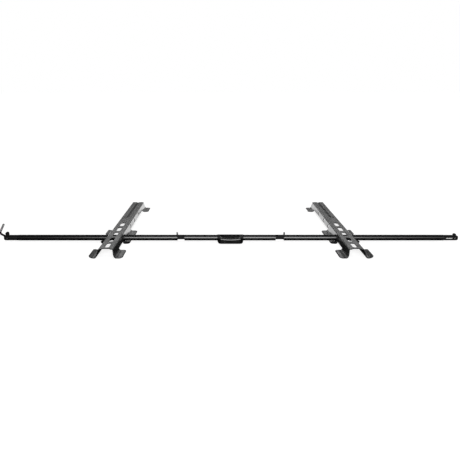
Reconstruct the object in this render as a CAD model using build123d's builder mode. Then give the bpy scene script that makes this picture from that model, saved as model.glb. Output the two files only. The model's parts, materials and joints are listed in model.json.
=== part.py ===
from build123d import *

import math
import os

# A three-section cargo bar that carries two stamped, footed bracket channels.
#
# The bar lies along X with its axis BAR_Z above the floor. +Y points from the short end of the brackets to
# their long end, and +Z is up. The origin is on the floor, under the middle of the whole object's box.

# ---- Bar: everything along it is measured from its middle -------------------------------------------------
BAR_HALF = 788.0  # from the middle to the flat end of an end plug
BAR_Z = 15.0
TUBE_R = 10.0
TUBE_WALL = 1.5
TUBE_INNER_END = {"left": 186.0, "right": 184.4}
TUBE_OUTER_END = 740.0
BARREL_END = {"left": 161.5, "right": 155.5}  # from the middle, on each side
PRESS_INSET = 1.0  # how far the bush and the nut sit inside the barrel's ends
TUBE_CHAMFER = 0.4
BARREL_WALL = 2.0
CUT_PAST = 2.0  # how far a cut runs past the faces it opens
RUN_GAP = 0.3  # between faces of pieces that move past each other
PRESS_GAP = 0.04  # radial, between pieces that are pressed together
FIT = 0.05  # radial, of a piece that turns or slides on another

# ---- Connectors, screw and swivel -------------------------------------------------------------------------
NECK_FLAT_Z = -3.0  # the underside of the D-shaped neck, from the bar axis
TONGUE_R = TUBE_R - TUBE_WALL - FIT
TONGUE_LENGTH = 66.0
KEY_PIN_R = 2.75
KEY_PIN_OUT = 0.6  # how far the pin stands outwards of the tube's inner end
KEY_PIN_TOP = 20.0
KEY_PIN_FOOT = -6.0
KEY_PIN_ROUND = 1.0
TONGUE_CHAMFER = 1.0
NOTCH_CLEARANCE = 0.35
STEM_R = 5.0
STEM_CHAMFER = 0.6
STEM_TAIL = 2.0  # how far the stem and the rod stand out past their collars
ROD_R = 6.0
ROD_CHAMFER = 1.0
BORE_DEPTH = 20.0  # how far the stem and the rod are pressed into their connectors
BUSH_LENGTH = 20.0
NUT_LENGTH = 24.0
WASHER_T = 1.5
COLLAR_T = 4.0
COLLAR_R = 7.4
ROD_INNER_END = 92.0

# ---- Grip -------------------------------------------------------------------------------------------------
GRIP_LEFT = -47.0
GRIP_RIGHT = 43.0
GRIP_SLEEVE_R = 11.0
BOW_REACH = 30.5
BOW_T = 8.0
BOW_LIP_R = 6.0
BOW_TAPER = 5.0  # how far each end of the bow leans in towards its front
BOW_CORNER_R = 11.0
BOW_ROOT = -2.0
BOW_TOP = 11.5
BOW_BOTTOM = -12.5
SCOOP_DEPTH = 6.0  # how far the bow's upper edge dips in its middle
SLEEVE_SPLIT = 1.5  # the parting face lies this far behind the bar axis
GRIP_SCREW_R = 1.5
GRIP_SCREW_HEAD_R = 2.6
GRIP_SCREW_HEAD_T = 1.4
GRIP_SCREW_ROUND = 0.6
GRIP_SCREW_INSET = 11.0

# ---- End plugs, pivot blocks and hook ---------------------------------------------------------------------
PLUG_R = 9.5
PLUG_SPIGOT = 26.0
NOSE_ROUND = 2.5
PIVOT_S = 777.0
PIVOT_PIN_R = 2.0
PIVOT_HEAD_R = 2.6
PIVOT_HEAD_T = 0.8
PIVOT_HEAD_ROUND = 0.4
SLOT_W = 9.2
SLOT_LENGTH = 34.0
SLOT_FLOOR = -6.2
BLOCK_W = 8.6
BLOCK_HALF_X = {"left": 5.2, "right": 4.2}
BLOCK_TOP = {"left": 20.5, "right": 14.8}
BLOCK_CHAMFER = {"left": 3.0, "right": 1.6}
HOOK_R = 3.6
HOOK_BEND = 7.0
HOOK_CHAMFER = 0.9
HOOK_CORNER = (803.3, 15.9)
HOOK_TIP = (784.2, 49.6)
HOOK_EXIT = 6.6  # height over the bar axis at which the lower leg leaves the plug
HOOK_ROOT = 2.9  # how far short of the block's middle the lower leg ends
HOOK_OVERHANG = 16.442  # how far the bend stands out past the left plug
KEY_PLATE = (746.2, 769.0)
KEY_PLATE_H = 3.6
KEY_PLATE_T = 1.6
KEY_PLATE_SINK = 0.6  # how far its face lies behind the plug's front
KEY_PLATE_GAP = 0.2

# ---- Brackets ---------------------------------------------------------------------------------------------
BRACKET_AT = {"left": -400.4, "right": 394.8}  # from the middle of the bar, along +X
SHEET_T = 2.5
PLATE_HALF_W = 23.75
PLATE_UNDER = BAR_Z + TUBE_R + 0.3
PLATE_TOP = PLATE_UNDER + SHEET_T
PLATE_FRONT = -144.0
PLATE_BACK = 450.0
FOOT_HALF_W = 54.0
# Each foot: where it starts and ends along the bracket, and how far out its pads reach.
FEET = (
    (-162.0, -88.0, FOOT_HALF_W),
    (-24.0, 24.0, 50.5),
    (60.0, 120.0, FOOT_HALF_W),
    (387.0, PLATE_BACK, FOOT_HALF_W),
)
LEG_FOOT_X = 30.0  # where a leg's middle line would meet the pad's
TOP_BEND = 2.9
FOOT_BEND = 7.0
CURL_OUT = (40.0, 4.6)  # where a pad on the outer side starts to curl up, and how far its edge rises
CURL_IN = (50.0, 0.8)
CURL_BEND = 12.0
FLANGE_BOTTOM = 9.5
FLANGE_BOTTOM_FRONT = 8.5
LEG_CORNER_R = 5.0
PAD_CORNER_R = 12.0
SPINE_HALF_W = 33.0
ARCH_HALF_W = 16.0
ARCH_R = 9.0
SLOT_PITCH = 57.0
PLATE_SLOT_W = 14.5
PLATE_SLOT_LENGTH = 41.0
GROOVE_W = 9.0
GROOVE_DEPTH = 1.8
GROOVE_START = 212.0
GROOVE_HOOK = 9.0
FLANGE_WINDOWS = (128.0, 205.0, 297.0)
WINDOW_LENGTH = 14.0
WINDOW_H = 11.0
WINDOW_Z = 17.6
WINDOW_CORNER_R = 2.0
BUSH_FLANGE_R = 11.9
BUSH_FLANGE_T = 1.6
BUSH_LENGTH_X = 11.0
BUSH_R = TUBE_R + 1.2
BUSH_TOP_GAP = 0.8  # the bushes are open at the top, this far under the plate
BUSH_HOLE_INNER_X = 18.0
BUSH_X = 19.8  # the inner face of a bush's flange

# ---- Where the bar stands in the object's frame -----------------------------------------------------------
BAR_X = HOOK_OVERHANG / 2.0
BAR_Y = -(FEET[0][0] + PLATE_BACK) / 2.0

SIDES = {"left": -1.0, "right": 1.0}


def bar_plane(s):
    """The plane across the bar at s from its middle: local x is +Y, local y is +Z."""
    return Plane(origin=(BAR_X + s, BAR_Y, BAR_Z), x_dir=(0, 1, 0), z_dir=(1, 0, 0))


def front_plane(y=0.0):
    """The upright plane along the bar, y behind its axis: local x is +X, local y is +Z, normal -Y."""
    return Plane(origin=(BAR_X, BAR_Y + y, BAR_Z), x_dir=(1, 0, 0), z_dir=(0, -1, 0))


def top_plane(z):
    """The level plane z above the bar axis, with its origin over the middle of the bar."""
    return Plane(origin=(BAR_X, BAR_Y, BAR_Z + z), x_dir=(1, 0, 0), z_dir=(0, 0, 1))


def rod_along(side, start, end, radius):
    """A round bar from start to end, measured outwards from the middle on one side."""
    low, high = sorted((SIDES[side] * start, SIDES[side] * end))
    with BuildSketch(bar_plane(low)) as section:
        Circle(radius)
    return extrude(section.sketch, amount=high - low)


def save(piece, name):
    piece.part.label = name
    export_step(piece.part, f"parts/{name}.step")


os.makedirs("parts", exist_ok=True)

# ---- Centre barrel ----------------------------------------------------------------------------------------
BARREL_BORE_R = TUBE_R - BARREL_WALL

with BuildPart() as centre_barrel:
    with BuildSketch(bar_plane(-BARREL_END["left"])):
        Circle(TUBE_R)
        Circle(BARREL_BORE_R, mode=Mode.SUBTRACT)
    extrude(amount=BARREL_END["left"] + BARREL_END["right"])
    chamfer(centre_barrel.edges().filter_by(GeomType.CIRCLE), TUBE_CHAMFER)
save(centre_barrel, "centre_barrel")

with BuildPart() as swivel_bush:
    with BuildSketch(bar_plane(PRESS_INSET - BARREL_END["left"])):
        Circle(BARREL_BORE_R - PRESS_GAP)
        Circle(STEM_R + FIT, mode=Mode.SUBTRACT)
    extrude(amount=BUSH_LENGTH)
save(swivel_bush, "swivel_bush")

with BuildPart() as barrel_nut:
    with BuildSketch(bar_plane(BARREL_END["right"] - PRESS_INSET - NUT_LENGTH)):
        Circle(BARREL_BORE_R - PRESS_GAP)
        Circle(ROD_R + FIT, mode=Mode.SUBTRACT)
    extrude(amount=NUT_LENGTH)
save(barrel_nut, "barrel_nut")

# ---- Swivel stem at the left, threaded rod at the right ---------------------------------------------------
NECK_START = {side: end + RUN_GAP for side, end in BARREL_END.items()}
NECK_END = {side: end - RUN_GAP for side, end in TUBE_INNER_END.items()}
KEY_PIN_S = {side: end + KEY_PIN_OUT for side, end in TUBE_INNER_END.items()}
WASHER_START = BARREL_END["left"] - PRESS_INSET - BUSH_LENGTH - RUN_GAP
COLLAR_START = WASHER_START - WASHER_T - RUN_GAP

with BuildPart() as swivel_stem:
    rod_along("left", COLLAR_START - COLLAR_T - STEM_TAIL, NECK_START["left"] + BORE_DEPTH, STEM_R)
    chamfer(swivel_stem.edges().filter_by(GeomType.CIRCLE), STEM_CHAMFER)
save(swivel_stem, "swivel_stem")

with BuildPart() as thrust_washer:
    with BuildSketch(bar_plane(-WASHER_START)):
        Circle(COLLAR_R)
        Circle(STEM_R + FIT, mode=Mode.SUBTRACT)
    extrude(amount=WASHER_T)
save(thrust_washer, "thrust_washer")

with BuildPart() as swivel_collar:
    with BuildSketch(bar_plane(-COLLAR_START)):
        Circle(COLLAR_R)
        Circle(STEM_R + PRESS_GAP, mode=Mode.SUBTRACT)
    extrude(amount=COLLAR_T)
save(swivel_collar, "swivel_collar")

with BuildPart() as threaded_rod:
    rod_along("right", ROD_INNER_END, NECK_START["right"] + BORE_DEPTH, ROD_R)
    chamfer(threaded_rod.edges().filter_by(GeomType.CIRCLE), ROD_CHAMFER)
save(threaded_rod, "threaded_rod")

with BuildPart() as rod_stop_collar:
    with BuildSketch(bar_plane(ROD_INNER_END + STEM_TAIL)):
        Circle(COLLAR_R)
        Circle(ROD_R + PRESS_GAP, mode=Mode.SUBTRACT)
    extrude(amount=COLLAR_T)
save(rod_stop_collar, "rod_stop_collar")


def connector(side, bore_r):
    """A D-shaped neck between barrel and tube, with a round tongue that plugs into the tube."""
    sign = SIDES[side]
    with BuildPart() as piece:
        rod_along(side, NECK_START[side], NECK_END[side], TUBE_R)
        with BuildSketch(bar_plane(0)):
            with Locations((0, NECK_FLAT_Z - TUBE_R)):
                Rectangle(4 * TUBE_R, 2 * TUBE_R)
        extrude(amount=sign * TUBE_INNER_END[side], mode=Mode.SUBTRACT)
        rod_along(side, NECK_END[side], NECK_END[side] + TONGUE_LENGTH, TONGUE_R)
        with BuildSketch(bar_plane(sign * NECK_START[side])):
            Circle(bore_r + PRESS_GAP)
        extrude(amount=sign * (BORE_DEPTH + PRESS_GAP), mode=Mode.SUBTRACT)
        with BuildSketch(top_plane(KEY_PIN_FOOT)):
            with Locations((sign * KEY_PIN_S[side], 0)):
                Circle(KEY_PIN_R + PRESS_GAP)
        extrude(amount=2 * TUBE_R, mode=Mode.SUBTRACT)
        tip = piece.faces().sort_by(Axis.X)[-1 if sign > 0 else 0]
        chamfer(tip.edges().filter_by(GeomType.CIRCLE), TONGUE_CHAMFER)
    return piece


def key_pin(side):
    """The upright pin that stands in the connector's tongue and seats in the tube's notch."""
    with BuildPart() as piece:
        with BuildSketch(top_plane(KEY_PIN_FOOT + PRESS_GAP)):
            with Locations((SIDES[side] * KEY_PIN_S[side], 0)):
                Circle(KEY_PIN_R)
        extrude(amount=KEY_PIN_TOP - KEY_PIN_FOOT - PRESS_GAP)
        fillet(piece.faces().sort_by(Axis.Z)[-1].edges(), KEY_PIN_ROUND)
    return piece


def outer_tube(side):
    """An outer tube, notched at the top of its inner end for the key pin."""
    sign = SIDES[side]
    inner_end = TUBE_INNER_END[side]
    with BuildPart() as piece:
        rod_along(side, inner_end, TUBE_OUTER_END, TUBE_R)
        with BuildSketch(bar_plane(sign * inner_end)):
            Circle(TUBE_R - TUBE_WALL)
        extrude(amount=sign * (TUBE_OUTER_END - inner_end), mode=Mode.SUBTRACT)
        notch_r = KEY_PIN_R + NOTCH_CLEARANCE
        with BuildSketch(top_plane(0)):
            with Locations((sign * KEY_PIN_S[side], 0)):
                Circle(notch_r)
            with Locations((sign * (KEY_PIN_S[side] - notch_r), 0)):
                Rectangle(2 * notch_r, 2 * notch_r)
        extrude(amount=2 * TUBE_R, mode=Mode.SUBTRACT)
    return piece


def end_plug(side):
    """An end plug: a spigot in the tube and a nose with an upright slot for the pivot block."""
    sign = SIDES[side]
    with BuildPart() as piece:
        rod_along(side, TUBE_OUTER_END, BAR_HALF, PLUG_R)
        nose = piece.faces().sort_by(Axis.X)[-1 if sign > 0 else 0]
        fillet(nose.edges(), NOSE_ROUND)
        rod_along(side, TUBE_OUTER_END - PLUG_SPIGOT, TUBE_OUTER_END, TUBE_R - TUBE_WALL - PRESS_GAP)
        with BuildSketch(front_plane(-SLOT_W / 2)):
            with Locations((sign * (BAR_HALF - SLOT_LENGTH / 2 + CUT_PAST), SLOT_FLOOR + 2 * TUBE_R)):
                Rectangle(SLOT_LENGTH + 2 * CUT_PAST, 4 * TUBE_R)
        extrude(amount=-SLOT_W, mode=Mode.SUBTRACT)
        with BuildSketch(front_plane(-PLUG_R)):
            with Locations((sign * PIVOT_S, 0)):
                Circle(PIVOT_PIN_R + PRESS_GAP)
        extrude(amount=-2 * PLUG_R, mode=Mode.SUBTRACT)
        if side == "right":
            with BuildSketch(front_plane(-PLUG_R - CUT_PAST)):
                with Locations((sum(KEY_PLATE) / 2, 0)):
                    Rectangle(KEY_PLATE[1] - KEY_PLATE[0], KEY_PLATE_H)
            extrude(amount=-(CUT_PAST + KEY_PLATE_T), mode=Mode.SUBTRACT)
    return piece


def pivot_pin(side):
    """The rivet across the plug, with a low head at the front and at the back."""
    place = (SIDES[side] * PIVOT_S, 0)
    with BuildPart() as piece:
        with BuildSketch(front_plane(-PLUG_R)):
            with Locations(place):
                Circle(PIVOT_PIN_R)
        extrude(amount=-2 * PLUG_R)
        for y, depth in ((-PLUG_R, PIVOT_HEAD_T), (PLUG_R, -PIVOT_HEAD_T)):
            with BuildSketch(front_plane(y)):
                with Locations(place):
                    Circle(PIVOT_HEAD_R)
            extrude(amount=depth)
        ends = piece.faces().sort_by(Axis.Y)
        fillet(ends[0].edges() + ends[-1].edges(), PIVOT_HEAD_ROUND)
    return piece


def pivot_block(side):
    """The upright block in a plug's slot, rounded about its pin, with its head standing above the bar."""
    sign = SIDES[side]
    top = BLOCK_TOP[side]
    half_x = BLOCK_HALF_X[side]
    with BuildPart() as piece:
        with BuildSketch(front_plane(-BLOCK_W / 2)):
            with Locations((sign * PIVOT_S, 0)):
                Circle(half_x)
            with Locations((sign * PIVOT_S, top / 2)):
                Rectangle(2 * half_x, top)
            with Locations((sign * PIVOT_S, 0)):
                Circle(PIVOT_PIN_R + FIT, mode=Mode.SUBTRACT)
        extrude(amount=-BLOCK_W)
        chamfer(piece.faces().sort_by(Axis.Z)[-1].edges().filter_by(Axis.Y), BLOCK_CHAMFER[side])
        if side == "left":
            add(hook_bore.part, mode=Mode.SUBTRACT)
    return piece


# ---- The L-shaped hook rod --------------------------------------------------------------------------------
HOOK_SLOPE = math.atan2(HOOK_CORNER[1] - HOOK_EXIT, HOOK_CORNER[0] - BAR_HALF)
HOOK_RUN = HOOK_CORNER[0] - PIVOT_S - HOOK_ROOT
HOOK_START = (HOOK_RUN - HOOK_CORNER[0], HOOK_CORNER[1] - HOOK_RUN * math.tan(HOOK_SLOPE))


def hook_rod(radius, end_chamfer):
    """The bent rod as a solid of the radius given."""
    with BuildPart() as piece:
        with BuildLine(front_plane()) as path:
            FilletPolyline(
                HOOK_START,
                (-HOOK_CORNER[0], HOOK_CORNER[1]),
                (-HOOK_TIP[0], HOOK_TIP[1]),
                radius=HOOK_BEND,
            )
        with BuildSketch(path.line ^ 0):
            Circle(radius)
        sweep(path=path.line)
        if end_chamfer:
            chamfer(piece.faces().sort_by(Axis.Z)[-1].edges(), end_chamfer)
    return piece


left_hook_rod = hook_rod(HOOK_R, HOOK_CHAMFER)
hook_bore = hook_rod(HOOK_R + PRESS_GAP, 0)
save(left_hook_rod, "left_hook_rod")

for side, bore_r in (("left", STEM_R), ("right", ROD_R)):
    save(connector(side, bore_r), f"{side}_connector")
    save(key_pin(side), f"{side}_key_pin")
    save(outer_tube(side), f"{side}_tube")
    save(end_plug(side), f"{side}_end_plug")
    save(pivot_block(side), f"{side}_pivot_block")
    save(pivot_pin(side), f"{side}_pivot_pin")

with BuildPart() as right_key_plate:
    with BuildSketch(front_plane(KEY_PLATE_SINK - PLUG_R)):
        with Locations((sum(KEY_PLATE) / 2, 0)):
            SlotOverall(KEY_PLATE[1] - KEY_PLATE[0] - 2 * KEY_PLATE_GAP, KEY_PLATE_H - 2 * KEY_PLATE_GAP)
    extrude(amount=KEY_PLATE_SINK - KEY_PLATE_T)
save(right_key_plate, "right_key_plate")

# ---- Grip: a moulded bow in front of the barrel, and the half shell that holds it there -------------------
GRIP_MIDDLE = (GRIP_LEFT + GRIP_RIGHT) / 2
GRIP_HALF = (GRIP_RIGHT - GRIP_LEFT) / 2
SLEEVE_INNER_R = TUBE_R + PRESS_GAP


def half_sleeve(front):
    """The half of the grip's sleeve on one side of its parting face."""
    depth = 2 * GRIP_SLEEVE_R
    middle = SLEEVE_SPLIT - depth / 2 if front else SLEEVE_SPLIT + depth / 2
    with BuildSketch(bar_plane(GRIP_LEFT)) as section:
        Circle(GRIP_SLEEVE_R)
        Circle(SLEEVE_INNER_R, mode=Mode.SUBTRACT)
        with Locations((middle, 0)):
            Rectangle(depth, 2 * depth, mode=Mode.INTERSECT)
    return extrude(section.sketch, amount=GRIP_RIGHT - GRIP_LEFT)


def grip_screw_places():
    """Where the two grip screws stand, along the bar."""
    return [(GRIP_LEFT + GRIP_SCREW_INSET, 0), (GRIP_RIGHT - GRIP_SCREW_INSET, 0)]


SCOOP_R = (GRIP_HALF**2 + SCOOP_DEPTH**2) / (2 * SCOOP_DEPTH)

with BuildPart() as grip_bow:
    for inset, mode in ((0.0, Mode.ADD), (BOW_T, Mode.SUBTRACT)):
        with BuildSketch(top_plane(BOW_BOTTOM)):
            with BuildLine():
                FilletPolyline(
                    (GRIP_LEFT + inset, BOW_ROOT),
                    (GRIP_LEFT + BOW_TAPER + inset, inset - BOW_REACH),
                    (GRIP_RIGHT - BOW_TAPER - inset, inset - BOW_REACH),
                    (GRIP_RIGHT - inset, BOW_ROOT),
                    radius=BOW_CORNER_R - inset / 2,
                )
                Line((GRIP_LEFT + inset, BOW_ROOT), (GRIP_RIGHT - inset, BOW_ROOT))
            make_face()
        extrude(amount=BOW_TOP - BOW_BOTTOM, mode=mode)
    with BuildSketch(front_plane(-BOW_REACH - CUT_PAST)):
        with Locations((GRIP_MIDDLE, BOW_TOP - SCOOP_DEPTH + SCOOP_R)):
            Circle(SCOOP_R)
    extrude(amount=-(BOW_REACH - GRIP_SLEEVE_R), mode=Mode.SUBTRACT)
    lip = grip_bow.edges().group_by(Axis.Y)[0].sort_by(Axis.Z)[-1]
    fillet(lip, BOW_LIP_R)
    half_sleeve(front=True)
    with BuildSketch(bar_plane(GRIP_LEFT - CUT_PAST)):
        Circle(SLEEVE_INNER_R)
    extrude(amount=GRIP_RIGHT - GRIP_LEFT + 2 * CUT_PAST, mode=Mode.SUBTRACT)
save(grip_bow, "grip_bow")

with BuildPart() as grip_back:
    half_sleeve(front=False)
    with BuildSketch(front_plane(SLEEVE_SPLIT)):
        with Locations(grip_screw_places()):
            Circle(GRIP_SCREW_R + PRESS_GAP)
    extrude(amount=-2 * GRIP_SLEEVE_R, mode=Mode.SUBTRACT)
save(grip_back, "grip_back")

with BuildPart() as grip_screws:
    with BuildSketch(front_plane(GRIP_SLEEVE_R + PRESS_GAP)):
        with Locations(grip_screw_places()):
            Circle(GRIP_SCREW_HEAD_R)
    extrude(amount=-GRIP_SCREW_HEAD_T)
    fillet(grip_screws.faces().group_by(Axis.Y)[-1].edges(), GRIP_SCREW_ROUND)
    with BuildSketch(front_plane(TUBE_R + PRESS_GAP)):
        with Locations(grip_screw_places()):
            Circle(GRIP_SCREW_R)
    extrude(amount=-(GRIP_SLEEVE_R - TUBE_R + PRESS_GAP))
save(grip_screws, "grip_screws")


# ---- Brackets ---------------------------------------------------------------------------------------------
def bracket_level(side, z):
    """The level plane z above the floor, with its origin over the bar in the middle of a bracket."""
    return Plane(origin=(BAR_X + BRACKET_AT[side], BAR_Y, z), x_dir=(1, 0, 0), z_dir=(0, 0, 1))


def bracket_section(side, y):
    """The upright plane across a bracket: local x is +X, local y is up from the floor."""
    origin = (BAR_X + BRACKET_AT[side], BAR_Y + y, 0)
    return Plane(origin=origin, x_dir=(1, 0, 0), z_dir=(0, -1, 0))


def bracket_side(side, x):
    """The upright plane along a bracket: local x is +Y from the bar, local y is up from the floor."""
    origin = (BAR_X + BRACKET_AT[side] + x, BAR_Y, 0)
    return Plane(origin=origin, x_dir=(0, 1, 0), z_dir=(1, 0, 0))


def side_outline():
    """What a bracket keeps when seen from the side: flanges, and a leg over each foot."""
    below = -CUT_PAST
    above = PLATE_TOP + CUT_PAST
    front, middle, inner, back = FEET
    return Polyline(
        (PLATE_FRONT - CUT_PAST, above),
        (back[1] + CUT_PAST, above),
        (back[1] + CUT_PAST, below),
        (back[0], below),
        (back[0], FLANGE_BOTTOM),
        (inner[1], FLANGE_BOTTOM),
        (inner[1], below),
        (inner[0], below),
        (inner[0], FLANGE_BOTTOM_FRONT),
        (middle[1], FLANGE_BOTTOM_FRONT),
        (middle[1], below),
        (middle[0], below),
        (middle[0], FLANGE_BOTTOM_FRONT),
        (front[1], FLANGE_BOTTOM_FRONT),
        (front[1], below),
        (front[0] - CUT_PAST, below),
        (front[0] - CUT_PAST, FLANGE_BOTTOM),
        close=True,
    )


def groove_outline(sign, margin):
    """The hooked groove from above, grown by a margin."""
    width = GROOVE_W + 2 * margin
    with Locations((0, (GROOVE_START + PLATE_BACK) / 2)):
        Rectangle(width, PLATE_BACK - GROOVE_START)
    with Locations((0, GROOVE_START)):
        Circle(width / 2)
    with Locations((sign * GROOVE_HOOK / 2, GROOVE_START)):
        SlotCenterToCenter(GROOVE_HOOK, width)


def bracket(side):
    """A stamped channel on seven feet, with slots, a hooked groove and pierced flanges."""
    sign = SIDES[side]
    length = PLATE_BACK - FEET[0][0]
    half_sheet = SHEET_T / 2
    with BuildPart() as piece:
        with BuildSketch(bracket_section(side, PLATE_BACK)):
            with BuildLine() as middle_line:
                FilletPolyline(
                    (sign * FOOT_HALF_W, half_sheet + CURL_OUT[1]),
                    (sign * CURL_OUT[0], half_sheet),
                    (sign * LEG_FOOT_X, half_sheet),
                    (sign * (PLATE_HALF_W - half_sheet), PLATE_TOP - half_sheet),
                    (-sign * (PLATE_HALF_W - half_sheet), PLATE_TOP - half_sheet),
                    (-sign * LEG_FOOT_X, half_sheet),
                    (-sign * CURL_IN[0], half_sheet),
                    (-sign * FOOT_HALF_W, half_sheet + CURL_IN[1]),
                    radius=(CURL_BEND, FOOT_BEND, TOP_BEND, TOP_BEND, FOOT_BEND, CURL_BEND),
                )
            trace(line_width=SHEET_T)
        extrude(amount=length)
        with BuildSketch(bracket_side(side, -FOOT_HALF_W - CUT_PAST)) as outline:
            with BuildLine():
                side_outline()
            make_face()
            corners = outline.vertices().filter_by(
                lambda v: v.Y > 0 and v.Z > 0 and v.Z < PLATE_TOP
            )
            fillet(corners, LEG_CORNER_R)
        extrude(amount=2 * (FOOT_HALF_W + CUT_PAST), mode=Mode.INTERSECT)
        back_foot = FEET[-1]
        with BuildSketch(bracket_side(side, 0.0)):
            with Locations(((back_foot[0] + back_foot[1]) / 2, 0)):
                Rectangle(back_foot[1] - back_foot[0] + 2 * LEG_CORNER_R, 2 * FLANGE_BOTTOM)
        extrude(amount=sign * (FOOT_HALF_W + CUT_PAST), mode=Mode.SUBTRACT)
        with BuildSketch(bracket_level(side, -CUT_PAST)):
            with Locations((0, (FEET[0][0] + PLATE_BACK) / 2)):
                Rectangle(2 * SPINE_HALF_W, length)
            for start, end, reach in FEET:
                with Locations((0, (start + end) / 2)):
                    RectangleRounded(2 * reach, end - start, PAD_CORNER_R)
        extrude(amount=PLATE_TOP + 2 * CUT_PAST, mode=Mode.INTERSECT)
        with BuildSketch(bracket_level(side, 0.0)):
            with Locations((0, PLATE_FRONT - ARCH_HALF_W)):
                RectangleRounded(2 * ARCH_HALF_W, 2 * ARCH_HALF_W, ARCH_R)
            with Locations((0, PLATE_FRONT - 2 * ARCH_HALF_W)):
                Rectangle(2 * ARCH_HALF_W, 2 * ARCH_HALF_W)
            with GridLocations(0, SLOT_PITCH, 1, 5):
                SlotOverall(PLATE_SLOT_LENGTH, PLATE_SLOT_W, rotation=90)
        extrude(amount=PLATE_TOP + CUT_PAST, mode=Mode.SUBTRACT)
        with BuildSketch(bracket_side(side, -FOOT_HALF_W - CUT_PAST)):
            with Locations([(y, WINDOW_Z) for y in FLANGE_WINDOWS]):
                RectangleRounded(WINDOW_LENGTH, WINDOW_H, WINDOW_CORNER_R)
        extrude(amount=2 * (FOOT_HALF_W + CUT_PAST), mode=Mode.SUBTRACT)
        for x, reach in ((-BUSH_HOLE_INNER_X, -FOOT_HALF_W), (BUSH_HOLE_INNER_X, FOOT_HALF_W)):
            with BuildSketch(bracket_side(side, x)):
                with Locations((0, BAR_Z)):
                    Circle(BUSH_R + PRESS_GAP)
            extrude(amount=reach, mode=Mode.SUBTRACT)
        with BuildSketch(bracket_level(side, PLATE_TOP - GROOVE_DEPTH - SHEET_T)):
            groove_outline(sign, SHEET_T)
        extrude(amount=GROOVE_DEPTH + half_sheet)
        with BuildSketch(bracket_level(side, PLATE_TOP - GROOVE_DEPTH)):
            groove_outline(sign, 0.0)
        extrude(amount=GROOVE_DEPTH + CUT_PAST, mode=Mode.SUBTRACT)
    return piece


def bracket_bushes(side):
    """The two flanged bushes in a bracket's legs that grip the tube."""
    with BuildPart() as piece:
        for x, direction in ((-BUSH_X, -1.0), (BUSH_X, 1.0)):
            for radius, length in ((BUSH_FLANGE_R, BUSH_FLANGE_T), (BUSH_R, BUSH_LENGTH_X)):
                with BuildSketch(bracket_side(side, x)):
                    with Locations((0, BAR_Z)):
                        Circle(radius)
                        Circle(TUBE_R + FIT, mode=Mode.SUBTRACT)
                extrude(amount=direction * length)
        with BuildSketch(bracket_level(side, PLATE_UNDER - BUSH_TOP_GAP)):
            Rectangle(2 * (BUSH_HOLE_INNER_X + BUSH_R), 3 * BUSH_FLANGE_R)
        extrude(amount=BUSH_FLANGE_R, mode=Mode.SUBTRACT)
    return piece


for side in SIDES:
    save(bracket(side), f"{side}_bracket")
    save(bracket_bushes(side), f"{side}_bracket_bushes")
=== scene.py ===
"""How the cargo bar looks: finishes for its CAD nodes, threads and other fine shapes, a pale floor,
soft studio light and a camera in front of the bar. Metres, in the frame of the CAD model."""

import json
import math

import bmesh
import bpy
from mathutils import Matrix, Vector


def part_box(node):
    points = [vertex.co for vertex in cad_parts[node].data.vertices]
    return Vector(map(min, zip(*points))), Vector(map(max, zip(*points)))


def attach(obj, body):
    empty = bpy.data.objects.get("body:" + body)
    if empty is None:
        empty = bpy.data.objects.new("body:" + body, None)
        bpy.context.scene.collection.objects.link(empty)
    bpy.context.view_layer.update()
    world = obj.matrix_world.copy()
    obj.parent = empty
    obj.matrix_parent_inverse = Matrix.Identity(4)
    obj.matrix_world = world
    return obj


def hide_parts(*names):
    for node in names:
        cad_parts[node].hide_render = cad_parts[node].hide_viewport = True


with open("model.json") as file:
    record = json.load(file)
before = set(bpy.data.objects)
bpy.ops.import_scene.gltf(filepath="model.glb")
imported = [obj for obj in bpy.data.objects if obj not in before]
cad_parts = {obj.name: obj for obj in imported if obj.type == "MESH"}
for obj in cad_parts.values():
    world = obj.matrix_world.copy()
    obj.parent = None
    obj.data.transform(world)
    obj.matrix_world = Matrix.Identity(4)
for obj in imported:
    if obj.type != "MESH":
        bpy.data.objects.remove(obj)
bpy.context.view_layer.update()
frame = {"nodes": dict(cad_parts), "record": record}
NODES = frame["nodes"]

# ---- Places read from the frame ---------------------------------------------------------------------------
LEFT_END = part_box("left_end_plug")[0]
RIGHT_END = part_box("right_end_plug")[1]
BAR_AXIS = (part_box("left_tube")[0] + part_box("right_tube")[1]) / 2
BAR_AXIS.x = (LEFT_END.x + RIGHT_END.x) / 2  # the middle of the bar, on its axis
MOUNTS = {mount["name"]: mount for mount in frame["record"]["mounts"]}

# ---- Camera, from the middle of the bar's axis ------------------------------------------------------------
CAMERA_SIDE = -0.0371
CAMERA_BACK = 1.4855
CAMERA_UP = 0.5055
CAMERA_TILT = 17.83  # degrees below level
SENSOR_WIDTH = 36.0  # millimetres, as is the lens
LENS = 35.217391
CAMERA_SHIFT = 0.0212  # sideways, over the picture's width


def make_camera():
    data = bpy.data.cameras.new("camera")
    data.sensor_width = SENSOR_WIDTH
    data.lens = LENS
    data.shift_x = CAMERA_SHIFT
    data.clip_start = 0.05
    data.clip_end = 60.0
    camera = bpy.data.objects.new("camera", data)
    bpy.context.scene.collection.objects.link(camera)
    camera.location = BAR_AXIS + Vector((CAMERA_SIDE, -CAMERA_BACK, CAMERA_UP))
    camera.rotation_euler = (math.radians(90.0 - CAMERA_TILT), 0.0, 0.0)
    bpy.context.scene.camera = camera


# ---- Shader nodes that the light and the finishes share ---------------------------------------------------
def map_range(tree, value, low, high, first, second):
    """value from low to high becomes first to second, which are numbers."""
    node = tree.nodes.new("ShaderNodeMapRange")
    node.inputs["From Min"].default_value = low
    node.inputs["From Max"].default_value = high
    node.inputs["To Min"].default_value = first
    node.inputs["To Max"].default_value = second
    tree.links.new(value, node.inputs["Value"])
    return node.outputs["Result"]


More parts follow.
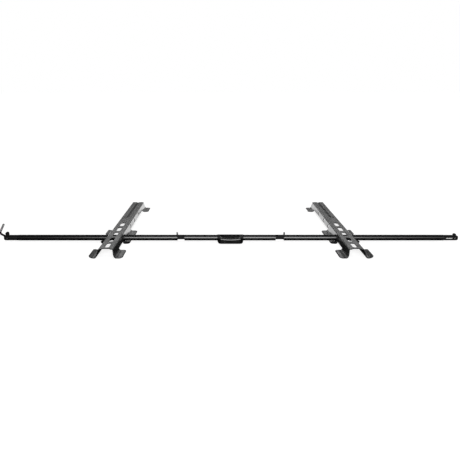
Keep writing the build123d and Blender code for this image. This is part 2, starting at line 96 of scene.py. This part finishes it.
def calculate(tree, operation, first, second):
    """ADD or MULTIPLY of two values; the first is a socket and the second a socket or a float."""
    node = tree.nodes.new("ShaderNodeMath")
    node.operation = operation
    tree.links.new(first, node.inputs[0])
    if isinstance(second, float):
        node.inputs[1].default_value = second
    else:
        tree.links.new(second, node.inputs[1])
    return node.outputs["Value"]


# ---- Floor and light --------------------------------------------------------------------------------------
FLOOR_REACH = 30.0
FLOOR_SHADE = 0.36
FLOOR_ROUGHNESS = 0.9
GLOW_NEAR = 0.5  # up to this distance from the bar's middle, the floor glows by GLOW_NEAR_STRENGTH
GLOW_NEAR_STRENGTH = 0.84
GLOW_FAR = 2.0  # and from here on by GLOW_FAR_STRENGTH
GLOW_FAR_STRENGTH = 1.0
CARD_REACH = 1.3
CARD_FRONT = 1.0  # how far the shade card reaches in front of the bar's axis
CARD_BACK = 0.125
CARD_LIFT = 0.0004  # above the floor
CARD_SHADE = 0.01
CARD_ROUGHNESS = 1.0


def flat_sheet(name, reach, front, back, height, shade, roughness):
    """A level rectangle with a plain matte material; gives the object and its material."""
    mesh = bpy.data.meshes.new(name)
    corners = ((-reach, front), (reach, front), (reach, back), (-reach, back))
    mesh.from_pydata([(x, y, height) for x, y in corners], [], [(0, 1, 2, 3)])
    sheet = bpy.data.objects.new(name, mesh)
    bpy.context.scene.collection.objects.link(sheet)
    material = bpy.data.materials.new(name)
    material.use_nodes = True
    shader = material.node_tree.nodes["Principled BSDF"]
    shader.inputs["Base Color"].default_value = (shade, shade, shade, 1.0)
    shader.inputs["Roughness"].default_value = roughness
    shader.inputs["Specular IOR Level"].default_value = 0.0
    mesh.materials.append(material)
    return sheet, material


def make_floor():
    """A pale floor that glows, a little less near the bar, so that shadows on it stay faint."""
    front, back = -FLOOR_REACH, FLOOR_REACH
    floor, material = flat_sheet("floor", FLOOR_REACH, front, back, 0.0, FLOOR_SHADE, FLOOR_ROUGHNESS)
    tree = material.node_tree
    shader = tree.nodes["Principled BSDF"]
    shader.inputs["Emission Color"].default_value = (1.0, 1.0, 1.0, 1.0)
    away = tree.nodes.new("ShaderNodeVectorMath")
    away.operation = "DISTANCE"
    away.inputs[1].default_value = (BAR_AXIS.x, BAR_AXIS.y, 0.0)
    tree.links.new(tree.nodes.new("ShaderNodeTexCoord").outputs["Object"], away.inputs[0])
    distance = away.outputs["Value"]
    glow = map_range(tree, distance, GLOW_NEAR, GLOW_FAR, GLOW_NEAR_STRENGTH, GLOW_FAR_STRENGTH)
    tree.links.new(glow, shader.inputs["Emission Strength"])
    floor.visible_glossy = False
    floor.visible_diffuse = False


def make_shade_card():
    """Painted shade: a black card that lies in front of the bar and under it, seen only in reflections,
    where it stands in for the shade there.
    """
    front, back = BAR_AXIS.y - CARD_FRONT, BAR_AXIS.y + CARD_BACK
    card, _ = flat_sheet("shade_card", CARD_REACH, front, back, CARD_LIFT, CARD_SHADE, CARD_ROUGHNESS)
    card.visible_camera = False
    card.visible_diffuse = False
    card.visible_shadow = False


def area_light(name, place, aim, width, height, radiance, glossy=True):
    """A soft box that faces the point aimed at; glossy says whether reflections show it."""
    data = bpy.data.lights.new(name, "AREA")
    data.shape = "RECTANGLE"
    data.size = width
    data.size_y = height
    data.energy = radiance * math.pi * width * height
    light = bpy.data.objects.new(name, data)
    bpy.context.scene.collection.objects.link(light)
    light.location = place
    light.rotation_euler = (Vector(aim) - Vector(place)).to_track_quat("-Z", "Y").to_euler()
    light.visible_glossy = glossy


# The studio's brightness against the height of a direction: -1 is straight down and 1 straight up.
STUDIO_BY_HEIGHT = (
    (-1.0, 0.003),
    (-0.50, 0.012),
    (-0.34, 0.62),
    (-0.10, 0.62),
    (0.02, 0.20),
    (0.14, 0.05),
    (0.24, 0.03),
    (0.30, 0.08),
    (0.335, 0.50),
    (0.355, 0.95),
    (0.375, 0.35),
    (0.395, 0.012),
    (1.00, 0.006),
)
STUDIO_STRENGTH = 4.0
# The studio is dim in front: its share grows from FRONT_SHARE to 1 between these parts of a direction's +Y.
DIM_UP_TO = -0.2
FULL_FROM = 0.6
FRONT_SHARE = 0.04


def make_world():
    """White behind the object; for its reflections, a studio that is bright low down at the back."""
    world = bpy.data.worlds.new("studio")
    bpy.context.scene.world = world
    world.use_nodes = True
    tree = world.node_tree
    nodes, links = tree.nodes, tree.links
    seen = nodes["Background"]
    seen.inputs["Color"].default_value = (1.0, 1.0, 1.0, 1.0)
    seen.inputs["Strength"].default_value = 1.0
    split = nodes.new("ShaderNodeSeparateXYZ")
    links.new(nodes.new("ShaderNodeTexCoord").outputs["Generated"], split.inputs["Vector"])
    back = map_range(tree, split.outputs["Y"], DIM_UP_TO, FULL_FROM, FRONT_SHARE, 1.0)
    by_height = nodes.new("ShaderNodeValToRGB")
    links.new(map_range(tree, split.outputs["Z"], -1.0, 1.0, 0.0, 1.0), by_height.inputs["Fac"])
    stops = by_height.color_ramp.elements
    for index, (height, share) in enumerate(STUDIO_BY_HEIGHT):
        place = (height + 1.0) / 2
        stop = stops[index] if index < len(stops) else stops.new(place)
        stop.position = place
        stop.color = (share, share, share, 1.0)
    mirrored = nodes.new("ShaderNodeBackground")
    mirrored.inputs["Color"].default_value = (1.0, 1.0, 1.0, 1.0)
    brightness = calculate(tree, "MULTIPLY", by_height.outputs["Color"], back)
    links.new(calculate(tree, "MULTIPLY", brightness, STUDIO_STRENGTH), mirrored.inputs["Strength"])
    choice = nodes.new("ShaderNodeMixShader")
    links.new(nodes.new("ShaderNodeLightPath").outputs["Is Camera Ray"], choice.inputs["Fac"])
    links.new(mirrored.outputs["Background"], choice.inputs[1])
    links.new(seen.outputs["Background"], choice.inputs[2])
    links.new(choice.outputs["Shader"], nodes["World Output"].inputs["Surface"])


def make_light():
    make_world()
    make_shade_card()
    area_light(
        "front_box",
        place=(0.10, -2.10, 0.72),
        aim=(0.10, BAR_AXIS.y, 0.0),
        width=1.8,
        height=1.65,
        radiance=3.2,
    )
    area_light(
        "front_wide_box",
        place=(0.28, -2.14, 0.74),
        aim=(0.28, BAR_AXIS.y, 0.0),
        width=2.9,
        height=1.6,
        radiance=1.15,
    )
    area_light(
        "top_box",
        place=(0.0, 0.2, 2.6),
        aim=(0.0, 0.0, 0.0),
        width=3.0,
        height=2.4,
        radiance=1.2,
        glossy=False,
    )


# ---- Materials --------------------------------------------------------------------------------------------
MICRON = 0.000001
BEVEL_SAMPLES = 6
EDGE_STARTS = 0.995  # the cosine between a face and its softened edge where the edge starts to count
EDGE_FULL = 0.80
LEVEL_STARTS = 0.85  # the upward part of a normal where a face starts to count as level
LEVEL_FULL = 0.95
# A mix node's colour sockets share their names with its other sockets, so they are found by number.
MIX_FIRST, MIX_SECOND, MIX_RESULT = 6, 7, 2


class Finish:
    """A node material, built up from its Principled shader."""

    def __init__(self, name, colour, roughness, metallic=0.0):
        self.material = bpy.data.materials.new(name)
        self.material.use_nodes = True
        self.tree = self.material.node_tree
        self.nodes = self.tree.nodes
        self.links = self.tree.links
        self.shader = self.nodes["Principled BSDF"]
        self.shader.inputs["Base Color"].default_value = (*colour, 1.0)
        self.shader.inputs["Roughness"].default_value = roughness
        self.shader.inputs["Metallic"].default_value = metallic
        self.place = self.nodes.new("ShaderNodeTexCoord").outputs["Object"]
        self.normal = None

    def noise(self, scale, detail=3.0, stretch=(1.0, 1.0, 1.0), roughness=0.5):
        """Noise over the object's own coordinates, in cycles per metre."""
        mapping = self.nodes.new("ShaderNodeMapping")
        mapping.inputs["Scale"].default_value = stretch
        self.links.new(self.place, mapping.inputs["Vector"])
        noise = self.nodes.new("ShaderNodeTexNoise")
        noise.inputs["Scale"].default_value = scale
        noise.inputs["Detail"].default_value = detail
        noise.inputs["Roughness"].default_value = roughness
        self.links.new(mapping.outputs["Vector"], noise.inputs["Vector"])
        return noise.outputs["Fac"]

    def ramp(self, value, low, high, first, second):
        """value from low to high becomes first to second, which are colours."""
        ramp = self.nodes.new("ShaderNodeValToRGB")
        ramp.color_ramp.elements[0].position = low
        ramp.color_ramp.elements[1].position = high
        ramp.color_ramp.elements[0].color = (*first, 1.0)
        ramp.color_ramp.elements[1].color = (*second, 1.0)
        self.links.new(value, ramp.inputs["Fac"])
        return ramp.outputs["Color"]

    def range(self, value, low, high, first, second):
        """value from low to high becomes first to second, which are numbers."""
        return map_range(self.tree, value, low, high, first, second)

    def mix(self, share, first, second):
        """Colour first where share is 0 and second where it is 1; either may be a colour or a socket."""
        node = self.nodes.new("ShaderNodeMix")
        node.data_type = "RGBA"
        self.links.new(share, node.inputs["Factor"])
        for socket, value in ((node.inputs[MIX_FIRST], first), (node.inputs[MIX_SECOND], second)):
            if isinstance(value, tuple):
                socket.default_value = (*value, 1.0)
            else:
                self.links.new(value, socket)
        return node.outputs[MIX_RESULT]

    def bump(self, value, depth):
        """Adds bump of the depth given, in metres, over what is there."""
        node = self.nodes.new("ShaderNodeBump")
        node.inputs["Strength"].default_value = 1.0
        node.inputs["Distance"].default_value = depth
        self.links.new(value, node.inputs["Height"])
        if self.normal:
            self.links.new(self.normal, node.inputs["Normal"])
        self.shade_by(node)

    def shade_by(self, node):
        """The surface is shaded with this node's normal from here on."""
        self.normal = node.outputs["Normal"]
        self.drive("Normal", self.normal)

    def drive(self, socket, value):
        self.links.new(value, self.shader.inputs[socket])

    def bevel(self, radius):
        node = self.nodes.new("ShaderNodeBevel")
        node.samples = BEVEL_SAMPLES
        node.inputs["Radius"].default_value = radius
        return node

    def round_edges(self, radius):
        """Softens the shading of edges over the radius given, in metres."""
        self.shade_by(self.bevel(radius))

    def edges(self, radius):
        """0 on flat ground and rising towards 1 at edges, within the radius given."""
        turn = self.nodes.new("ShaderNodeVectorMath")
        turn.operation = "DOT_PRODUCT"
        self.links.new(self.bevel(radius).outputs["Normal"], turn.inputs[0])
        self.links.new(self.face_normal(), turn.inputs[1])
        return self.range(turn.outputs["Value"], EDGE_STARTS, EDGE_FULL, 0.0, 1.0)

    def face_normal(self):
        return self.nodes.new("ShaderNodeNewGeometry").outputs["Normal"]

    def product(self, first, second):
        return calculate(self.tree, "MULTIPLY", first, second)

    def part(self, vector, axis):
        """One of a vector's parts, X, Y or Z."""
        split = self.nodes.new("ShaderNodeSeparateXYZ")
        self.links.new(vector, split.inputs["Vector"])
        return split.outputs[axis]


GROOVE_SINK = 0.0018  # how far a groove's floor lies under its plate


def gloss_coat():
    """Gloss black powder coat on round tube: faint orange peel, draw lines, dust and small scuffs."""
    black = (0.004, 0.004, 0.0045)
    dusty = (0.008, 0.008, 0.0085)
    scuffed = (0.030, 0.030, 0.031)
    finish = Finish("gloss_black_coat", black, 0.24)
    finish.shader.inputs["Specular IOR Level"].default_value = 1.0
    finish.round_edges(0.0004)
    lines = finish.noise(40.0, detail=4.0, stretch=(0.3, 8.0, 8.0))
    finish.drive("Roughness", finish.range(lines, 0.3, 0.7, 0.22, 0.27))
    dust = finish.noise(35.0, detail=6.0, roughness=0.65)
    coat = finish.ramp(dust, 0.50, 0.80, black, dusty)
    scuffs = finish.range(finish.noise(90.0, detail=3.0, stretch=(0.5, 3.0, 3.0)), 0.70, 0.76, 0.0, 0.35)
    finish.drive("Base Color", finish.mix(scuffs, coat, scuffed))
    finish.bump(finish.noise(500.0, detail=2.0), 4 * MICRON)
    return finish.material


def groove_floor_shade(finish):
    """1 on the floor of a bracket's groove, which is painted darker as shade and kept matte, and 0
    elsewhere.
    """
    top = MOUNTS["left_bracket_plate"]["pos_m"][2]
    height = finish.part(finish.place, "Z")
    under_top = finish.range(height, top - GROOVE_SINK / 2, top - GROOVE_SINK / 4, 1.0, 0.0)
    over_foot = finish.range(height, top - 2 * GROOVE_SINK, top - 1.5 * GROOVE_SINK, 0.0, 1.0)
    level = finish.range(finish.part(finish.face_normal(), "Z"), LEVEL_STARTS, LEVEL_FULL, 0.0, 1.0)
    return finish.product(finish.product(under_top, over_foot), level)


def satin_coat():
    """Satin charcoal coat on pressed sheet: fine powder texture, soft clouds, edges rubbed lighter, painted
    shade on the groove floors.
    """
    dark = (0.011, 0.011, 0.0115)
    charcoal = (0.017, 0.017, 0.018)
    light = (0.023, 0.023, 0.024)
    speckled = (0.045, 0.045, 0.047)
    worn = (0.16, 0.16, 0.165)
    # painted shade: the colour of a groove's floor, darker than the coat
    groove_painted_shade = (0.010, 0.010, 0.0105)
    finish = Finish("satin_charcoal_coat", charcoal, 0.27)
    finish.round_edges(0.0007)
    cloud = finish.noise(14.0, detail=6.0, roughness=0.65)
    coat = finish.ramp(cloud, 0.32, 0.70, dark, light)
    speck = finish.range(finish.noise(650.0, detail=2.0), 0.62, 0.74, 0.0, 0.5)
    coat = finish.mix(speck, coat, speckled)
    patches = finish.range(finish.noise(70.0, detail=5.0), 0.40, 0.62, 0.15, 0.9)
    rubbed = finish.product(finish.edges(0.0011), patches)
    coat = finish.mix(rubbed, coat, worn)
    # painted shade: groove floors get the darker colour and less sheen, in place of the shade in these
    # recesses
    groove = groove_floor_shade(finish)
    finish.drive("Base Color", finish.mix(groove, coat, groove_painted_shade))
    finish.drive("Specular IOR Level", finish.range(groove, 0.0, 1.0, 0.5, 0.06))
    finish.drive("Roughness", finish.range(finish.noise(30.0, detail=6.0), 0.3, 0.7, 0.19, 0.28))
    finish.bump(finish.noise(900.0, detail=3.0), 22 * MICRON)
    finish.bump(finish.noise(120.0, detail=2.0), 30 * MICRON)
    return finish.material


def plug_coat():
    """Satin black coat on the end castings."""
    black = (0.005, 0.005, 0.0055)
    worn = (0.05, 0.05, 0.052)
    finish = Finish("satin_black_coat", black, 0.45)
    finish.round_edges(0.0005)
    finish.shader.inputs["Specular IOR Level"].default_value = 0.30
    finish.drive("Roughness", finish.range(finish.noise(60.0, detail=5.0), 0.3, 0.7, 0.40, 0.54))
    patches = finish.range(finish.noise(160.0, detail=4.0), 0.45, 0.65, 0.0, 0.7)
    rubbed = finish.product(finish.edges(0.0008), patches)
    finish.drive("Base Color", finish.mix(rubbed, black, worn))
    finish.bump(finish.noise(500.0, detail=3.0), 30 * MICRON)
    return finish.material


def casting():
    """Matte black casting with a sandy skin."""
    dark = (0.005, 0.005, 0.0055)
    black = (0.008, 0.008, 0.0085)
    grey = (0.014, 0.014, 0.0145)
    finish = Finish("matte_black_casting", black, 0.70)
    finish.round_edges(0.0006)
    finish.shader.inputs["Specular IOR Level"].default_value = 0.16
    finish.drive("Base Color", finish.ramp(finish.noise(70.0, detail=5.0), 0.3, 0.75, dark, grey))
    finish.bump(finish.noise(700.0, detail=4.0, roughness=0.7), 100 * MICRON)
    return finish.material


def grip_plastic():
    """Moulded black plastic: a grained sleeve, and a bow rubbed smooth by the hand that turns it."""
    deep_black = (0.0025, 0.0025, 0.0028)
    black = (0.006, 0.006, 0.0063)
    bow_roughness = 0.20
    sleeve_roughness = 0.62
    bow_shine = 1.0
    sleeve_shine = 0.15
    finish = Finish("moulded_black_plastic", (0.006, 0.006, 0.0065), 0.45)
    finish.round_edges(0.0006)
    smooth_up_to = (BAR_AXIS.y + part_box("grip_bow")[0].y) / 2
    blend = 0.004  # from the smooth bow back to the grained sleeve
    smooth = finish.range(finish.part(finish.place, "Y"), smooth_up_to, smooth_up_to + blend, 1.0, 0.0)
    rough = finish.range(smooth, 0.0, 1.0, sleeve_roughness, bow_roughness)
    uneven = finish.range(finish.noise(55.0, detail=4.0), 0.3, 0.7, 0.0, 0.08)
    finish.drive("Roughness", calculate(finish.tree, "ADD", rough, uneven))
    finish.drive("Specular IOR Level", finish.range(smooth, 0.0, 1.0, sleeve_shine, bow_shine))
    finish.drive("Base Color", finish.ramp(finish.noise(40.0, detail=4.0), 0.35, 0.7, deep_black, black))
    finish.bump(finish.noise(1100.0, detail=2.0), 20 * MICRON)
    return finish.material


def zinc():
    """Zinc plate with a faint bluish bloom, turning marks and dulled patches."""
    bluish = (0.30, 0.31, 0.32)
    warm = (0.52, 0.51, 0.49)
    finish = Finish("zinc_plate", (0.42, 0.42, 0.42), 0.32, metallic=1.0)
    finish.round_edges(0.0003)
    finish.drive("Base Color", finish.ramp(finish.noise(120.0, detail=4.0), 0.3, 0.7, bluish, warm))
    finish.drive("Roughness", finish.range(finish.noise(300.0, detail=3.0), 0.3, 0.7, 0.24, 0.42))
    finish.bump(finish.noise(900.0, detail=2.0, stretch=(6.0, 1.0, 1.0)), 10 * MICRON)
    return finish.material


def painted_highlight_zinc():
    """Painted highlight: zinc plate coloured pale, nearly white, to stand in for the key plate's highlight,
    with brighter streaks.
    """
    pale_highlight = (0.78, 0.78, 0.78)
    bright = (0.94, 0.94, 0.92)
    finish = Finish("painted_highlight_zinc_plate", (0.86, 0.86, 0.85), 0.40, metallic=0.10)
    streaks = finish.noise(220.0, detail=4.0, stretch=(1.0, 1.0, 5.0))
    finish.drive("Base Color", finish.ramp(streaks, 0.3, 0.7, pale_highlight, bright))
    finish.drive("Roughness", finish.range(streaks, 0.3, 0.7, 0.50, 0.36))
    finish.bump(finish.noise(900.0, detail=2.0), 10 * MICRON)
    return finish.material


def hook_steel():
    """Bare grey steel of the threaded leg, with darker patches."""
    dark = (0.26, 0.26, 0.265)
    light = (0.48, 0.475, 0.47)
    finish = Finish("bare_steel_thread", (0.38, 0.38, 0.385), 0.42, metallic=0.9)
    finish.drive("Base Color", finish.ramp(finish.noise(150.0, detail=5.0), 0.3, 0.7, dark, light))
    finish.drive("Roughness", finish.range(finish.noise(260.0, detail=4.0), 0.3, 0.7, 0.34, 0.52))
    finish.bump(finish.noise(1200.0, detail=3.0), 20 * MICRON)
    return finish.material


def nylon():
    """Black nylon, a little uneven in shade and sheen."""
    dark = (0.009, 0.009, 0.0095)
    light = (0.016, 0.016, 0.0165)
    finish = Finish("black_nylon", (0.012, 0.012, 0.0125), 0.50)
    finish.round_edges(0.0004)
    finish.shader.inputs["Specular IOR Level"].default_value = 0.30
    finish.drive("Base Color", finish.ramp(finish.noise(50.0, detail=4.0), 0.3, 0.7, dark, light))
    finish.drive("Roughness", finish.range(finish.noise(80.0, detail=3.0), 0.3, 0.7, 0.42, 0.58))
    finish.bump(finish.noise(600.0, detail=2.0), 20 * MICRON)
    return finish.material


def brass():
    """Machined brass with a light tarnish."""
    tarnished = (0.50, 0.34, 0.14)
    clean = (0.76, 0.56, 0.25)
    finish = Finish("machined_brass", (0.72, 0.52, 0.22), 0.30, metallic=1.0)
    finish.drive("Base Color", finish.ramp(finish.noise(160.0, detail=4.0), 0.3, 0.7, tarnished, clean))
    finish.drive("Roughness", finish.range(finish.noise(200.0, detail=3.0), 0.3, 0.7, 0.22, 0.38))
    finish.bump(finish.noise(900.0, detail=2.0, stretch=(5.0, 1.0, 1.0)), 10 * MICRON)
    return finish.material


MATERIALS = {
    "tube_coat": gloss_coat(),
    "bracket_coat": satin_coat(),
    "plug_coat": plug_coat(),
    "casting": casting(),
    "grip_plastic": grip_plastic(),
    "zinc": zinc(),
    "hook_steel": hook_steel(),
    "nylon": nylon(),
    "brass": brass(),
}


def paint_nodes():
    """Each CAD node takes the finish of its record's material slot."""
    for row in frame["record"]["subparts"]:
        mesh = NODES[row["node"]].data
        mesh.materials.clear()
        mesh.materials.append(MATERIALS[row["material_slot"]])


# ---- Fine shapes made here: each is a stack of rings along a path -----------------------------------------
RING_SIDES = 28


class Ring:
    """A closed ring: its centre, the two unit directions that span it, and its radius at each angle."""

    def __init__(self, centre, across, up, radius):
        self.centre = Vector(centre)
        self.across = Vector(across)
        self.up = Vector(up)
        self.radius = radius if callable(radius) else lambda angle: radius

    def points(self):
        for index in range(RING_SIDES):
            angle = 2.0 * math.pi * index / RING_SIDES
            reach = self.radius(angle)
            yield self.centre + (math.cos(angle) * self.across + math.sin(angle) * self.up) * reach


def skin(name, stacks, slot_name, body, crease=35.0, finish=None):
    """One piece from stacks of rings, closed at both ends of each stack."""
    shape = bmesh.new()
    for rings in stacks:
        loops = [[shape.verts.new(point) for point in ring.points()] for ring in rings]
        for lower, upper in zip(loops, loops[1:]):
            for index in range(RING_SIDES):
                following = (index + 1) % RING_SIDES
                shape.faces.new((lower[index], lower[following], upper[following], upper[index]))
        shape.faces.new(tuple(reversed(loops[0])))
        shape.faces.new(tuple(loops[-1]))
    bmesh.ops.recalc_face_normals(shape, faces=shape.faces)
    mesh = bpy.data.meshes.new(name)
    shape.to_mesh(mesh)
    shape.free()
    mesh.polygons.foreach_set("use_smooth", [True] * len(mesh.polygons))
    mesh.set_sharp_from_angle(angle=math.radians(crease))
    mesh.materials.append(finish or MATERIALS[slot_name])
    piece = bpy.data.objects.new(name, mesh)
    bpy.context.scene.collection.objects.link(piece)
    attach(piece, body)
    return piece


FLANK_STARTS = 0.15  # the share of half a pitch that is flat root
FLANK_SHARE = 0.62  # and the share that the flank takes; the rest is flat crest
THREAD_STEPS = 8  # rings for each turn of a thread


def thread_rings(start, direction, length, crest, root, pitch, taper):
    """Rings of a screw thread that runs from start, with its ends tapered over the length given."""
    across = Vector((0.0, 1.0, 0.0))
    up = direction.cross(across).normalized()
    count = int(round(length / pitch * THREAD_STEPS))

    def radius_at(along):
        from_end = min(along, length - along)
        limit = root - taper + from_end if from_end < taper else crest

        def radius(angle):
            phase = (along / pitch - angle / (2.0 * math.pi)) % 1.0
            flank = abs(2.0 * phase - 1.0)  # 0 in the middle of the root, 1 on the crest
            height = min(max((flank - FLANK_STARTS) / FLANK_SHARE, 0.0), 1.0)
            return min(root + (crest - root) * height, max(limit, root - taper))

        return radius

    for step in range(count + 1):
        along = length * step / count
        yield Ring(start + direction * along, across, up, radius_at(along))


# ---- The hook: a coated bend and a bare threaded leg ------------------------------------------------------
HOOK = MOUNTS["hook_leg"]
HOOK_R = HOOK["dims"]["r_mm"] / 1000.0
LEG_DIRECTION = Vector(HOOK["axis"]).normalized()
LEG_LENGTH = HOOK["dims"]["length_mm"] / 1000.0
LEG_FOOT = Vector(HOOK["pos_m"]) - LEG_DIRECTION * LEG_LENGTH / 2  # where the leg leaves the bend
BEND_R = 0.007
LOWER_SLOPE = math.radians(31.3)  # how steeply the lower leg falls towards the plug
LOWER_RUN = 0.0262  # from the lower leg's root to where the two legs would meet
LOWER_DIRECTION = Vector((math.cos(LOWER_SLOPE), 0.0, -math.sin(LOWER_SLOPE)))
THREAD_PITCH = 0.0015
THREAD_DEPTH = 0.00055
COATED_RUN = 0.0009  # the coated rod runs this far up the leg, and the thread's ends taper over it
# The weld bead: how far along the lower leg each ring lies, and how far it stands out.
WELD_RINGS = ((-0.0016, 0.0001), (-0.0009, 0.0009), (0.0, 0.0014), (0.0010, 0.0015))
WELD_RIPPLES = 9
WELD_RIPPLE_SHARE = 0.12


def make_hook():
    """The hook's bend with its two legs, the thread on the upper leg and the weld at its block."""
    side = Vector((0.0, 1.0, 0.0))
    turn = LEG_DIRECTION.angle(-LOWER_DIRECTION)
    centre = LEG_FOOT + LEG_DIRECTION.cross(side).normalized() * -BEND_R
    spoke = LEG_FOOT - centre
    rings = []
    steps = 14
    for step in range(steps + 1):
        swing = Matrix.Rotation(-turn * (1.0 - step / steps), 3, "Y")
        outward = (swing @ spoke).normalized()
        rings.append(Ring(centre + swing @ spoke, side, outward, HOOK_R))
    bend_start = rings[0].centre
    tangent = BEND_R * math.tan(turn / 2)
    root = bend_start + LOWER_DIRECTION * (LOWER_RUN - tangent)
    rings.insert(0, Ring(root, side, rings[0].up, HOOK_R))
    rings.append(Ring(LEG_FOOT + LEG_DIRECTION * COATED_RUN, side, rings[-1].up, HOOK_R))
    bend = skin("hook_bend", [rings], "plug_coat", "left_hook")
    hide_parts("left_hook_rod")

    start = LEG_FOOT + LEG_DIRECTION * COATED_RUN / 2
    thread = thread_rings(
        start,
        LEG_DIRECTION,
        LEG_LENGTH + COATED_RUN / 2,
        HOOK_R,
        HOOK_R - THREAD_DEPTH,
        THREAD_PITCH,
        COATED_RUN,
    )
    leg = skin("hook_threaded_leg", [list(thread)], "hook_steel", "left_hook", crease=60.0)
    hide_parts("left_hook_rod")

    block_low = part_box("left_pivot_block")[0]
    to_block = (block_low.x - bend_start.x) / LOWER_DIRECTION.x
    weld_centre = bend_start + LOWER_DIRECTION * to_block
    bead = []
    for along, reach in WELD_RINGS:
        def ripple(angle, reach=reach):
            wave = WELD_RIPPLE_SHARE * math.cos(WELD_RIPPLES * angle)
            return HOOK_R + reach * (1.0 - WELD_RIPPLE_SHARE + wave)

        bead.append(Ring(weld_centre + LOWER_DIRECTION * along, side, rings[0].up, ripple))
    skin("hook_weld", [bead], "plug_coat", "left_hook", crease=70.0)


# ---- The screw in the barrel and the grip's screws --------------------------------------------------------
SCREW_LEAD = 0.003
SCREW_DEPTH = 0.0008
SCREW_TAPER = 0.001


def make_barrel_screw():
    """The threaded rod that the barrel turns on."""
    low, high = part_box("threaded_rod")
    crest = (high.z - low.z) / 2
    start = Vector((low.x, BAR_AXIS.y, BAR_AXIS.z))
    along_bar = Vector((1.0, 0.0, 0.0))
    root = crest - SCREW_DEPTH
    rings = thread_rings(start, along_bar, high.x - low.x, crest, root, SCREW_LEAD, SCREW_TAPER)
    screw = skin("barrel_screw", [list(rings)], "zinc", "right_link", crease=60.0)
    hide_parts("threaded_rod")


def make_key_plate():
    """The plate let into the front of the right end, coloured pale as a painted highlight: flat at the back,
    with a domed face.
    """
    low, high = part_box("right_key_plate")
    tall = (high.z - low.z) / 2
    rim_share = 0.1  # how much of the plate's thickness lies behind the dome
    rim = high.y - rim_share * (high.y - low.y)
    half_length = (high.x - low.x) / 2
    middle = (low.x + high.x) / 2
    end_dip = 0.5  # how much shallower the dome is at its ends
    least_tip = 0.05  # the end rings' size over the middle ones'
    steps = 24

    def domed(offset, tip):
        deep = (rim - low.y) * (1.0 - end_dip * (offset / half_length) ** 2)

        def radius(angle):
            reach = deep if math.cos(angle) < 0.0 else high.y - rim
            return tip * reach * tall / math.hypot(tall * math.cos(angle), reach * math.sin(angle))

        return radius

    rings = []
    for step in range(steps + 1):
        offset = -half_length * math.cos(math.pi * step / steps)
        from_end = min((half_length - abs(offset)) / tall, 1.0)
        tip = max(math.sqrt(1.0 - (1.0 - from_end) ** 2), least_tip)
        centre = (middle + offset, rim, (low.z + high.z) / 2)
        rings.append(Ring(centre, (0.0, 1.0, 0.0), (0.0, 0.0, 1.0), domed(offset, tip)))
    # painted highlight: the plate takes the pale zinc that stands in for its highlight
    plate = skin("key_plate_face", [rings], "zinc", "right_tube", finish=painted_highlight_zinc())
    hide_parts("right_key_plate")


def make_grip_screws():
    """Two round-headed screws with hexagonal sockets, at the back of the grip."""
    low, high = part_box("grip_screws")
    head_r = (high.z - low.z) / 2
    socket_r = 0.0014

    def hexagon(angle):
        sector = math.pi / 3.0
        return socket_r * math.cos(sector / 2) / math.cos(angle % sector - sector / 2)

    # From the shank's end to the socket's floor: the place along the screw, and the radius at each angle.
    profile = (
        (0.0, lambda angle: head_r * 0.55),
        (0.0009, lambda angle: head_r * 0.55),
        (0.0010, lambda angle: head_r),
        (0.0018, lambda angle: head_r),
        (0.0022, lambda angle: head_r * 0.90),
        (0.0024, lambda angle: head_r * 0.74),
        (0.0024, hexagon),
        (0.0013, hexagon),
    )
    stacks = []
    for x in (low.x + head_r, high.x - head_r):
        stacks.append(
            [
                Ring((x, low.y + along, BAR_AXIS.z), (1.0, 0.0, 0.0), (0.0, 0.0, 1.0), radius)
                for along, radius in profile
            ]
        )
    screws = skin("grip_screw_heads", stacks, "zinc", "barrel")
    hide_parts("grip_screws")


make_camera()
make_floor()
make_light()
paint_nodes()
make_hook()
make_barrel_screw()
make_key_plate()
make_grip_screws()
bpy.context.scene.view_settings.view_transform = "Standard"
